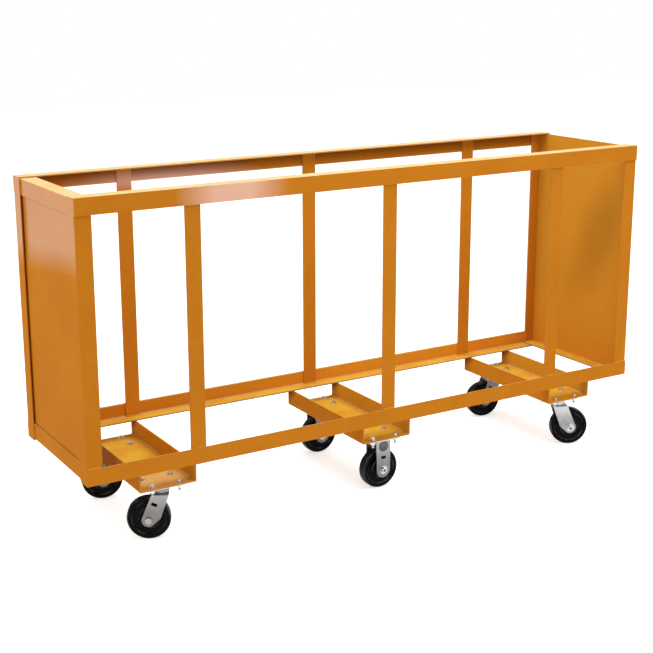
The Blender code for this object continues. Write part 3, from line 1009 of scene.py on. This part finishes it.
def makeWasher(name, radius, boltRadius, low, high, steps):
    soft = (high - low) * washer["soft"]
    bore = boltRadius * washer["bore"]
    profile = [(bore, low), (radius - soft, low), (radius, low + soft), (radius, high - soft),
               (radius - soft, high), (bore, high), (bore, low)]
    return turned(name, profile, steps)


def makeBoltMaster():
    radius = hexBolt["radius"]
    headLow = webTop + hexBolt["washerHeight"]
    nutLow = plateLow - hexBolt["nutHeight"]
    parts = [
        makeWasher("washer", hexBolt["washerRadius"], radius, webTop, headLow, hexBolt["washerSteps"]),
        makeHex("head", hexBolt["headRadius"], headLow, headLow + hexBolt["headHeight"], ("top",)),
        makeHex("nut", hexBolt["headRadius"], nutLow, plateLow, ("top", "bottom")),
        turned("shank", [(0, headLow), (radius, headLow)]
               + threadProfile(radius, nutLow - hexBolt["tail"], plateLow, hexBolt["pitch"]), hexBolt["turnSteps"]),
    ]
    bolt = joined("bolt", parts)
    markFaces(bolt, "fastener", lambda face: 1)
    return bolt


crownTop = joints["swivel_turn_front_left"]["pos_m"][2]
fork = {
    "thickness": 0.00635,
    "gap": 0.0850,
    "width": 0.0977,
    "bend": 0.0072,
    "bendSteps": 6,
    "endSteps": 20,
    "edge": 0.0009,
    "axleHole": 0.0100,
    "slotLength": 0.027,
    "slotHeight": 0.0145,
    "drillSides": 32,
    "drillReach": 0.02,
    "gapReach": 0.2,
    "swivel": {
        "crownFront": 0.036,
        "crownBack": 0.043,
        "lead": 0.060,
        "endRadius": 0.031,
        "heel": 0.056,
        "heelRise": 0.010,
        "slotBeforeAxle": 0.028,
        "slotAboveAxle": 0.076,
    },
    "rigid": {
        "crownHalf": 0.041,
        "endRadius": 0.039,
        "slotAboveAxle": 0.066,
        "dishRadius": 0.048,
        "dishDepth": 0.009,
        "dishWall": 0.005,
        "dishBelow": 0.031,
        "dishDirt": 0.75,
        "dirtReach": 0.0004,
        "ballSteps": 64,
    },
}
kingpin = {
    "radius": 0.0095,
    "clearance": 0.0005,
    "seat": 0.002,
    "nutRadius": 0.0155,
    "nutHeight": 0.012,
    "tail": 0.003,
    "tip": 0.8,
    "turnSteps": 24,
}


def makeKingpinMaster():
    nutTop = crownTop - fork["thickness"] - touchGap
    nutLow = nutTop - kingpin["nutHeight"]
    top, end = plateLow + kingpin["seat"], nutLow - kingpin["tail"]
    radius = kingpin["radius"]
    profile = [(0, top), (radius, top), (radius, nutLow), (radius, (nutLow + end) / 2), (radius * kingpin["tip"], end),
               (0, end)]
    nut = makeHex("nut", kingpin["nutRadius"], nutLow, nutTop, ("bottom",))
    return joined("kingpin", [nut, turned("pin", profile, kingpin["turnSteps"])])


plateMaster, boltMaster, kingpinMaster = makePlateMaster(), makeBoltMaster(), makeKingpinMaster()
for place in swivelPlaces + rigidPlaces:
    node = "caster_plate_" + place
    centre = casterCentre(place)
    flat = Matrix.Translation((centre.x, centre.y, 0))
    dress(placed(plateMaster, node + "_top", flat), zinc, "frame", [node])
    bolts = [placed(boltMaster, "bolt_copy", Matrix.Translation((*spot, 0))) for spot in boltPlaces(place)]
    dress(joined("caster_bolts_" + place, bolts), zinc, "frame", [node], smooth=30)
    if place in swivelPlaces:
        dress(placed(kingpinMaster, "kingpin_" + place, flat), zinc, "frame", [node], smooth=30)
discard(plateMaster, boltMaster, kingpinMaster)
print("caster plates made")


# Swivel races and forks

race = {
    "radius": 0.037,
    "lowerStep": 0.002,
    "groove": 0.0034,
    "gap": 0.0016,
    "bore": 0.010,
    "soft": 0.0028,
    "softSteps": 4,
    "turnSteps": 64,
}


def makeRaceMaster():
    low, high = (corner.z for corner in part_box("swivel_race_front_left"))
    middle = (low + high) / 2
    radius, bore, gap = race["radius"], race["bore"], race["gap"]
    lower, groove = radius - race["lowerStep"], radius - race["groove"]
    profile = [(bore, low), (lower, low), (lower, middle - gap), (groove, middle - gap), (groove, middle + gap),
               (radius, middle + gap), (radius, high), (bore, high), (bore, low)]
    ring = turned("race", profile, race["turnSteps"])
    breakEdges(ring, race["soft"], race["softSteps"])
    return ring


def makeForkBlank(name, outline, top):
    blank = drawLine(name, outline)
    pickAll()
    bpy.ops.mesh.edge_face_add()
    side, half = fork["width"] / 2, fork["gap"] / 2
    bpy.ops.transform.translate(value=(0, -side, 0))
    pull((0, fork["width"], 0))
    pickAll()
    bpy.ops.mesh.normals_make_consistent(inside=False)
    pickPair(1, (-side, side), top)
    roundOff(fork["bend"], fork["bendSteps"])
    doneEditing()
    reach, gapTop = fork["gapReach"], top - fork["thickness"]
    gap = addBlock("gap", (-reach, -half, -fork["drillReach"]), (reach, half, gapTop))
    editing(gap)
    pickPair(1, (-half, half), gapTop)
    roundOff(fork["bend"] - fork["thickness"], fork["bendSteps"])
    doneEditing()
    cut(blank, gap)
    return blank


def drillAxle(piece, axleX, axleZ):
    drill = addRod("drill", fork["drillSides"], fork["axleHole"], -fork["width"], fork["width"],
                   turn=(math.pi / 2, 0, 0))
    drill.data.transform(Matrix.Translation((axleX, 0, axleZ)))
    cut(piece, drill)


def cutSlot(piece, x, z, tilt, low, high):
    slot = addBlock("slot", (-fork["slotLength"] / 2, low, -fork["slotHeight"] / 2),
                    (fork["slotLength"] / 2, high, fork["slotHeight"] / 2))
    slot.data.transform(Matrix.Translation((x, 0, z)) @ Matrix.Rotation(tilt, 4, "Y"))
    cut(piece, slot)


axleZ = joints["wheel_roll_front_middle"]["pos_m"][2]


def forkOutline(front, back, axle, radius, heel=()):  # along the crown, then round the axle's end
    start = tangentAngle(axle, radius, back, -1)
    end = tangentAngle(axle, radius, (*heel, front)[0], 1) - math.tau
    return [front, back] + arcPoints(axle, radius, start, end, fork["endSteps"]) + list(heel)


def makeSwivelForkMaster():
    size = fork["swivel"]
    axle = (size["lead"], axleZ)
    front, back = (-size["crownFront"], crownTop), (size["crownBack"], crownTop)
    heel = (size["lead"] - size["heel"], axleZ + size["heelRise"])
    piece = makeForkBlank("swivel_fork", forkOutline(front, back, axle, size["endRadius"], [heel]), crownTop)
    drillAxle(piece, *axle)
    cut(piece, addRod("drill", fork["drillSides"], kingpin["radius"] + kingpin["clearance"],
                      crownTop - fork["drillReach"], crownTop + fork["drillReach"]))
    crownMiddle = (size["crownBack"] - size["crownFront"]) / 2
    lean = math.atan2(size["lead"] - crownMiddle, crownTop - axleZ)
    cutSlot(piece, size["lead"] - size["slotBeforeAxle"], axleZ + size["slotAboveAxle"], -lean, 0, fork["width"])
    breakEdges(piece, fork["edge"])
    return piece


def addBall(name, radius, place):
    steps = fork["rigid"]["ballSteps"]
    bpy.ops.mesh.primitive_uv_sphere_add(segments=steps, ring_count=steps // 2, radius=radius, location=place)
    return freshPiece(name)


def pressDish(piece, centre):  # round dish pressed into a leg, which swells on the inner face
    size = fork["rigid"]
    innerFace = math.copysign(fork["gap"] + fork["thickness"], centre.y) / 2
    swell = addBall("swell", size["dishRadius"] + size["dishWall"], centre)
    reach = 2 * size["dishRadius"]
    half = addBlock("half", (-reach, min(0, innerFace), centre.z - reach), (reach, max(0, innerFace), centre.z + reach))
    cut(swell, half, "INTERSECT")
    cut(piece, swell, "UNION")
    cut(piece, addBall("press", size["dishRadius"], centre))


def makeRigidForkMaster():
    size = fork["rigid"]
    top = plateLow - touchGap
    axle = (0, axleZ)
    front, back = (-size["crownHalf"], top), (size["crownHalf"], top)
    piece = makeForkBlank("rigid_fork", forkOutline(front, back, axle, size["endRadius"]), top)
    drillAxle(piece, *axle)
    cutSlot(piece, 0, axleZ + size["slotAboveAxle"], 0, -fork["width"], fork["width"])
    reach = fork["width"] / 2 + size["dishRadius"] - size["dishDepth"]
    dishes = [Vector((0, side * reach, top - size["dishBelow"])) for side in (-1, 1)]
    for dish in dishes:
        pressDish(piece, dish)
    breakEdges(piece, fork["edge"])
    # painted shade in the pressed dishes
    shadedWithin = size["dishRadius"] + size["dirtReach"]
    markFaces(piece, "recess", lambda face: size["dishDirt"]
              * any((face.center - dish).length < shadedWithin for dish in dishes))
    return piece


# Wheels, bearings and axles, turned about Z and laid over at their places

wheel = {
    "radius": axleZ,
    "width": 0.0508,
    "hubLength": 0.0826,
    "bore": 0.0183,
    "hubRadius": 0.0300,
    "webRecess": 0.0080,
    # swells of the moulded side face, as (radius, lift above the web)
    "rings": ((0.0325, 0.0100), (0.0400, 0.0072), (0.0450, 0.0056), (0.0500, 0.0006), (0.0560, 0.0), (0.0700, 0.0),
              (0.0745, 0.0010), (0.0800, 0.0062), (0.0840, 0.0078), (0.0880, 0.0080), (0.0920, 0.0076),
              (0.0965, 0.0056), (0.0995, 0.0020)),
    "treadEdge": 0.0110,
    "soft": 0.0010,
    "softSteps": 3,
    "softAngle": 25,
    "turnSteps": 96,
}


def makeWheelMaster():
    rim = wheel["width"] / 2
    web = rim - wheel["webRecess"]
    hub = wheel["hubLength"] / 2
    upper = [(wheel["bore"], hub), (wheel["hubRadius"], hub)]
    upper += [(radius, web + lift) for radius, lift in wheel["rings"]]
    upper += [(wheel["radius"], rim - wheel["treadEdge"])]
    piece = turnedAlike("wheel", upper, wheel["turnSteps"])
    breakEdges(piece, wheel["soft"], wheel["softSteps"], wheel["softAngle"])
    markPoints(piece, "turning", lambda place: math.hypot(place.x, place.y))
    return piece


bearing = {"inner": 0.0100, "outer": 0.0180, "chamfer": 0.0012, "turnSteps": 48}


def makeBearingMaster():
    half = wheel["hubLength"] / 2
    inner, outer, chamfer = bearing["inner"], bearing["outer"], bearing["chamfer"]
    groove = (inner + outer) / 2
    upper = [(inner, half - chamfer), (inner + chamfer, half), (groove - chamfer, half), (groove, half - chamfer),
             (groove + chamfer, half), (outer - chamfer, half), (outer, half - chamfer)]
    return turnedAlike("bearing", upper, bearing["turnSteps"])


axleBolt = {
    "radius": 0.0095,
    "seat": 0.002,
    "pitch": 0.0025,
    "hexRadius": 0.0165,
    "headHeight": 0.0095,
    "nutHeight": 0.0095,
    "washerRadius": 0.0215,
    "washerHeight": 0.0025,
    "washerSteps": 40,
    "tail": 0.0040,
    "turnSteps": 24,
    "threadGrime": 0.8,
    "flatGrime": 0.55,
    "flatTilt": 0.2,
    "headGrime": 0.45,
}


def axleShade(face, nutHigh, headLow, radius):  # painted shade: darkest in the thread's end, then on the flats and the head's end
    wide = math.hypot(face.center.x, face.center.y)
    if face.center.z > nutHigh + near:
        return axleBolt["threadGrime"]
    if abs(face.center.z - headLow) < near:
        return axleBolt["headGrime"]
    return axleBolt["flatGrime"] if abs(face.normal.z) < axleBolt["flatTilt"] and wide > radius else 0


def makeAxleMaster():  # nut end towards +Z
    face = fork["width"] / 2
    radius = axleBolt["radius"]
    nutLow = face + axleBolt["washerHeight"]
    nutHigh = nutLow + axleBolt["nutHeight"]
    headLow = -face - axleBolt["headHeight"]
    seat = headLow + axleBolt["seat"]
    ridges = threadProfile(radius, -nutHigh - axleBolt["tail"], -nutLow, axleBolt["pitch"])
    profile = [(0, seat), (radius, seat)] + [(wide, -height) for wide, height in ridges]
    parts = [
        turned("pin", profile, axleBolt["turnSteps"]),
        makeWasher("nut_washer", axleBolt["washerRadius"], radius, face, nutLow, axleBolt["washerSteps"]),
        makeHex("nut", axleBolt["hexRadius"], nutLow, nutHigh, ("top",)),
        makeHex("head", axleBolt["hexRadius"], headLow, -face, ("bottom",)),
    ]
    axle = joined("axle", parts)
    markFaces(axle, "fastener", lambda face: 1)
    # painted shade on the thread's end, the nut's flats and the head's end
    markFaces(axle, "recess", lambda face: axleShade(face, nutHigh, headLow, radius))
    return axle


raceMaster, swivelForkMaster, rigidForkMaster = makeRaceMaster(), makeSwivelForkMaster(), makeRigidForkMaster()
wheelMaster, bearingMaster, axleMaster = makeWheelMaster(), makeBearingMaster(), makeAxleMaster()
layOver = Matrix.Rotation(math.pi / 2, 4, "X")
# painted shade on each caster's zinc
paintedCasterShade = {"front_left": 0.6, "front_middle": 0.6, "front_right": 0.0,
              "rear_left": 0.85, "rear_middle": 0.85, "rear_right": 0.85}


def withCasterShade(piece, place):
    markFaces(piece, "dirt", lambda face: paintedCasterShade[place])
    return piece


for place in swivelPlaces + rigidPlaces:
    centre = casterCentre(place)
    axle = Vector(joints["wheel_roll_" + place]["pos_m"])
    swivels = place in swivelPlaces
    carrier, forkMaster = ("swivel_" + place, swivelForkMaster) if swivels else ("frame", rigidForkMaster)
    trail = math.atan2(axle.y - centre.y, axle.x - centre.x) if swivels else 0
    aim = Matrix.Rotation(trail, 4, "Z")
    under = Matrix.Translation((centre.x, centre.y, 0)) @ aim
    atAxle = Matrix.Translation(axle) @ aim @ layOver
    if swivels:
        ring = withCasterShade(placed(raceMaster, "swivel_race_%s_ring" % place, under), place)
        dress(ring, zinc, carrier, ["swivel_race_" + place])
    yoke = withCasterShade(placed(forkMaster, "caster_fork_%s_yoke" % place, under), place)
    dress(yoke, zinc, carrier, ["caster_fork_" + place], smooth=16)
    dress(placed(axleMaster, "axle_bolt_%s_pin" % place, atAxle), zinc, carrier, ["axle_bolt_" + place], smooth=30)
    rolling = "wheel_" + place
    dress(placed(wheelMaster, "caster_wheel_%s_tread" % place, atAxle), phenolic, rolling, ["caster_wheel_" + place])
    dress(placed(bearingMaster, "wheel_bearing_%s_sleeve" % place, atAxle), bearingSteel, rolling,
          ["wheel_bearing_" + place])
discard(raceMaster, swivelForkMaster, rigidForkMaster, wheelMaster, bearingMaster, axleMaster)
print("casters made")


# Studio: pale floor, soft lamps, camera at the photograph's angle

studio = {
    "floorSize": 40.0,
    "floorColour": (0.82, 0.82, 0.82),
    "floorShade": 0.98,
    "floorGlow": (0.63, 0.88),
    "glowReach": (1.5, 7.0),
    "worldStrength": 0.56,
    "lamps": {
        "overhead": {"place": (0.2, -0.2, 5.6), "aim": (0, 0, 0.6), "size": 4.0, "power": 205},
        "highRight": {"place": (2.6, -3.8, 5.6), "aim": (0.3, 0, 0.8), "size": 2.0, "power": 105},
        "left": {"place": (-5.6, 0.4, 4.4), "aim": (0, 0, 0.8), "size": 1.6, "power": 86},
    },
}


def seenDirectly(tree):  # 1 for the camera and for what shows in metal
    ray = tree.nodes.new("ShaderNodeLightPath").outputs
    mirrored = addMath(tree, "MAXIMUM", ray["Is Glossy Ray"], ray["Is Transmission Ray"])
    return addMath(tree, "MAXIMUM", ray["Is Camera Ray"], mirrored)


def makeFloor():
    bpy.ops.mesh.primitive_plane_add(size=studio["floorSize"], location=(0, 0, 0))
    floor = freshPiece("studio_floor")
    material, tree, shader = newMaterial("studio_floor", {"Roughness": 0.9, "Specular IOR Level": 0.0})
    tone = useGroup(tree, mottle, Size=0.6, Fine=9.0, Share=0.2)
    pale = tuple(value * studio["floorShade"] for value in studio["floorColour"])
    glow = addRange(tree, addLength(tree, objectPlace(tree)), *studio["glowReach"], *studio["floorGlow"])
    feed(shader, {"Base Color": addMix(tree, tone, pale, studio["floorColour"]), "Emission Color": (1, 1, 1, 1),
                  "Emission Strength": addProduct(tree, seenDirectly(tree), glow)})
    floor.data.materials.append(material)


def makeWorld():
    world = bpy.data.worlds.new("studio")
    world.use_nodes = True
    bpy.context.scene.world = world
    tree = world.node_tree
    strength = addRange(tree, seenDirectly(tree), 0.0, 1.0, studio["worldStrength"], 1.0)
    feed(tree.nodes["Background"], {"Color": (1, 1, 1, 1), "Strength": strength})


def makeLamps():
    for name, lamp in studio["lamps"].items():
        light = bpy.data.lights.new(name, "AREA")
        light.size = lamp["size"]
        light.energy = lamp["power"]
        holder = bpy.data.objects.new(name, light)
        holder.location = lamp["place"]
        aim = Vector(lamp["aim"]) - Vector(lamp["place"])
        holder.rotation_euler = aim.to_track_quat("-Z", "Y").to_euler()
        bpy.context.scene.collection.objects.link(holder)


camera = {
    "place": (-3.391, -5.313, 2.472),
    "heading": -30.572,
    "pitch": -13.879,
    "roll": -0.342,
    "lens": 70.98,
    "sensor": 36.0,
    "shift": (0.0343, -0.0449),
}


def makeCamera():
    data = bpy.data.cameras.new("photograph")
    data.lens = camera["lens"]
    data.sensor_width = camera["sensor"]
    data.shift_x, data.shift_y = camera["shift"]
    holder = bpy.data.objects.new("photograph", data)
    bpy.context.scene.collection.objects.link(holder)
    turn = Matrix.Rotation(math.radians(camera["heading"]), 4, "Z")
    turn @= Matrix.Rotation(math.radians(90 + camera["pitch"]), 4, "X")
    turn @= Matrix.Rotation(math.radians(camera["roll"]), 4, "Z")
    holder.matrix_world = Matrix.Translation(camera["place"]) @ turn
    bpy.context.scene.camera = holder


makeFloor()
makeWorld()
makeLamps()
makeCamera()
bpy.context.scene.view_settings.view_transform = "Standard"
print("studio made")
